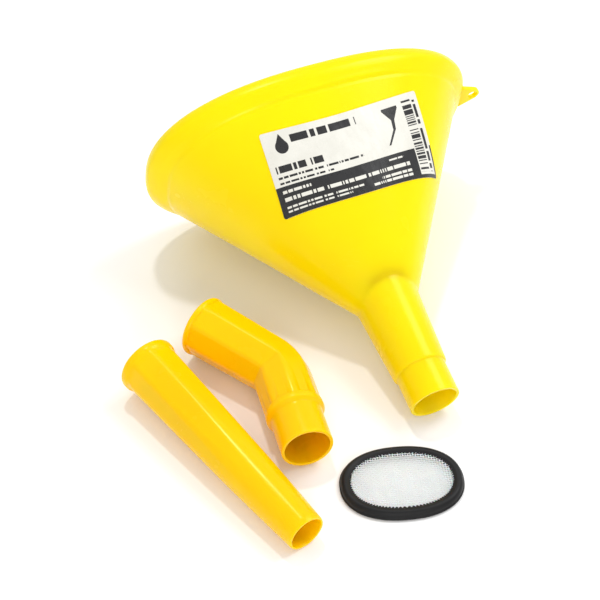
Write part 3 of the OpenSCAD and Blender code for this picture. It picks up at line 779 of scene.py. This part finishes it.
# %% [markdown]
# The layout is in millimetres from the label's middle, along it and up it. Dark marks are added up, the light
# lines are taken out of the dark band at the foot, and a light box for the stripes stands over the band.

# %% The label's printing
FOOT, TEXT_LEFT, TEXT_RIGHT = -LABEL_WID / 2, -LABEL_LEN / 2 + 2, 20.5
BAND_TOP, CODE_LOW, CODE_HIGH = FOOT + 10.4, FOOT + 2, 12.6
UPWARD = (0, 1, 0)
code_box = patch(FOOT + 1.2, 13.6, 28.1, 3.7)
stripes = runs(patch(CODE_LOW, CODE_HIGH, 27.0, 2.1), Across=UPWARD, Step=0.36, Share=0.52)
figures = runs(patch(CODE_LOW, CODE_HIGH, 30.4, 0.6), Across=UPWARD, Step=0.8, Share=0.75)
drop = [disc(-25.8, 8.9, 2.45), patch(9.8, 13.6, -25.8, 2.2, high_half=0.05)]
pictogram = [patch(7.2, 10.8, 19.1, 0.8, 19.0, 3.4), patch(10.8, 11.8, 19.0, 3.5),
             patch(3.7, 7.2, 18.6, 0.6, 19.1, 0.75), patch(-1.4, 3.7, 14.6, 0.45, 18.6, 0.6)]
heading = words(-22.0, 4.2, 9.7, 12.5, 0.95, 0.78)
bold_line = words(TEXT_LEFT, -12.5, 0.0, 2.5, 0.6, 0.75)
small_lines = [words(TEXT_LEFT, 3.0, -2.1, -1.3), words(TEXT_LEFT, -10.0, -3.9, -3.2)]
band = patch(FOOT, BAND_TOP, 0, LABEL_LEN / 2 + 1)
band = r.math("MULTIPLY", band, r.math("SUBTRACT", 1.0, code_box))
LIGHT_LINES = ((TEXT_LEFT, -20.0, 2.5, 1.5), (TEXT_LEFT, TEXT_RIGHT, 5.2, 3.9, 0.5, 0.75),
               (TEXT_LEFT, -1.0, 7.6, 6.9), (TEXT_LEFT, -6.0, 8.9, 8.3), (7.0, TEXT_RIGHT, 7.4, 6.5),
               (3.0, TEXT_RIGHT, 8.9, 8.0), (12.0, 18.5, 2.0, 1.4))
light_lines = [words(left, right, BAND_TOP - low, BAND_TOP - high, *runs_of)
               for left, right, low, high, *runs_of in LIGHT_LINES]
ink = together([stripes, figures, heading, bold_line, band] + drop + pictogram + small_lines)
ink = r.math("MULTIPLY", ink, r.math("SUBTRACT", 1.0, together(light_lines)))
INK_COLOUR, PAPER, WORN_PAPER = (0.014, 0.014, 0.015, 1), (0.70, 0.69, 0.63, 1), (0.64, 0.63, 0.57, 1)
paper = r.blend(r.between(r.noise(film, 0.12, 3.0), 0.3, 0.7, 0.0, 1.0), PAPER, WORN_PAPER)
r.join(shader.inputs["Base Color"], r.blend(ink, paper, INK_COLOUR))
r.join(shader.inputs["Roughness"], r.between(r.noise(film, 0.35, 2.0), 0.3, 0.7, 0.22, 0.34))
creases = r.noise(r.add("ShaderNodeMapping", Vector=film, Scale=(0.16, 0.05, 1.0)), 1.0, 2.0)
r.join(shader.inputs["Normal"], bumped(r, creases, 0.00035))
print("the label's printing takes", len(r.tree.nodes), "nodes")

# %% [markdown]
# Each finished piece now takes the place of its designed part and rides on the same body, so that the joints
# carry it. The lug belongs to the same moulding as the funnel.

# %% Finishes, bodies and the parts they stand for
PIECES = [(funnel, LEMON, "funnel", "lemon_plastic", ["funnel_body"]),
          (lug, LEMON, "funnel", "lemon_plastic", []),
          (label, PRINT, "funnel", "label_print", ["label"]),
          (elbow, GOLDEN, "elbow", "golden_plastic", ["elbow"]),
          (nozzle, GOLDEN, "nozzle", "golden_plastic", ["nozzle"]),
          (strainer_ring, BLACK, "strainer", "black_ring", ["strainer_ring"]),
          (weave, NYLON, "strainer", "white_mesh", ["strainer_mesh"])]
for piece, material, body, slot_name, nodes in PIECES:
    piece.data.materials.append(material)
    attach(piece, body)
    if nodes:
        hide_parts(*nodes)
    print(piece.name, "rides on", body)

# %% [markdown]
# The set is a plain pale sweep, as for a catalogue. A broad key light gives the soft shadows, a small
# overhead lamp the crisp highlights, and a fill from the front opens the insides of the tubes. The floor runs
# far past the frame so that no edge of it shows.

# %% The floor
FLOOR, FLOOR_DROP = 6.0, 0.0001  # half its width, and how far it lies under the pieces, in metres
floor_mesh = bpy.data.meshes.new("floor")
floor_mesh.from_pydata([(-FLOOR, -FLOOR, 0), (FLOOR, -FLOOR, 0), (FLOOR, FLOOR, 0), (-FLOOR, FLOOR, 0)], [],
                       [(0, 1, 2, 3)])
floor = linked("floor", floor_mesh)
floor.location.z = -FLOOR_DROP
SWEEP, shader, r = principled("pale_sweep")
shader.inputs["Base Color"].default_value = (0.93, 0.93, 0.93, 1)
shader.inputs["Roughness"].default_value = 0.75
floor_mesh.materials.append(SWEEP)
print("the floor is", 2 * FLOOR, "m wide")

# %% The lights
MIDDLE = Vector((0, 0, 0.03))


def soft_light(name, position, size, power, colour=(1, 1, 1)):
    lamp = bpy.data.lights.new(name, "AREA")
    lamp.shape, lamp.size, lamp.energy, lamp.color = "DISK", size, power, colour
    light = linked(name, lamp)
    light.location = position
    light.rotation_euler = (MIDDLE - Vector(position)).to_track_quat("-Z", "Y").to_euler()
    print(name, "light:", power, "W")


soft_light("key", (0.6, 0.25, 0.9), 0.5, 4.6)
soft_light("overhead", (-0.12, 0.42, 1.1), 0.09, 3.0)
soft_light("fill", (0.15, -1.05, 0.5), 0.5, 4.0, (1.0, 0.99, 0.97))
world = bpy.data.worlds.new("studio")
world.use_nodes = True
background = world.node_tree.nodes["Background"].inputs
background["Color"].default_value = (1, 1, 1, 1)
background["Strength"].default_value = 0.78
bpy.context.scene.world = world
bpy.context.scene.view_settings.view_transform = "Standard"

# %% The camera
ELEVATION, DISTANCE, LENS = math.radians(46), 0.713, 108.9
LOOK_AT = Vector((-0.00354, 0.02035, 0))
camera_data = bpy.data.cameras.new("camera")
camera_data.lens, camera_data.sensor_width = LENS, 36
camera = linked("camera", camera_data)
camera.location = LOOK_AT + DISTANCE * Vector((0, -math.cos(ELEVATION), math.sin(ELEVATION)))
camera.rotation_euler = (math.pi / 2 - ELEVATION, 0, 0)
bpy.context.scene.camera = camera
print("the camera stands", round(camera.location.z, 3), "m up")
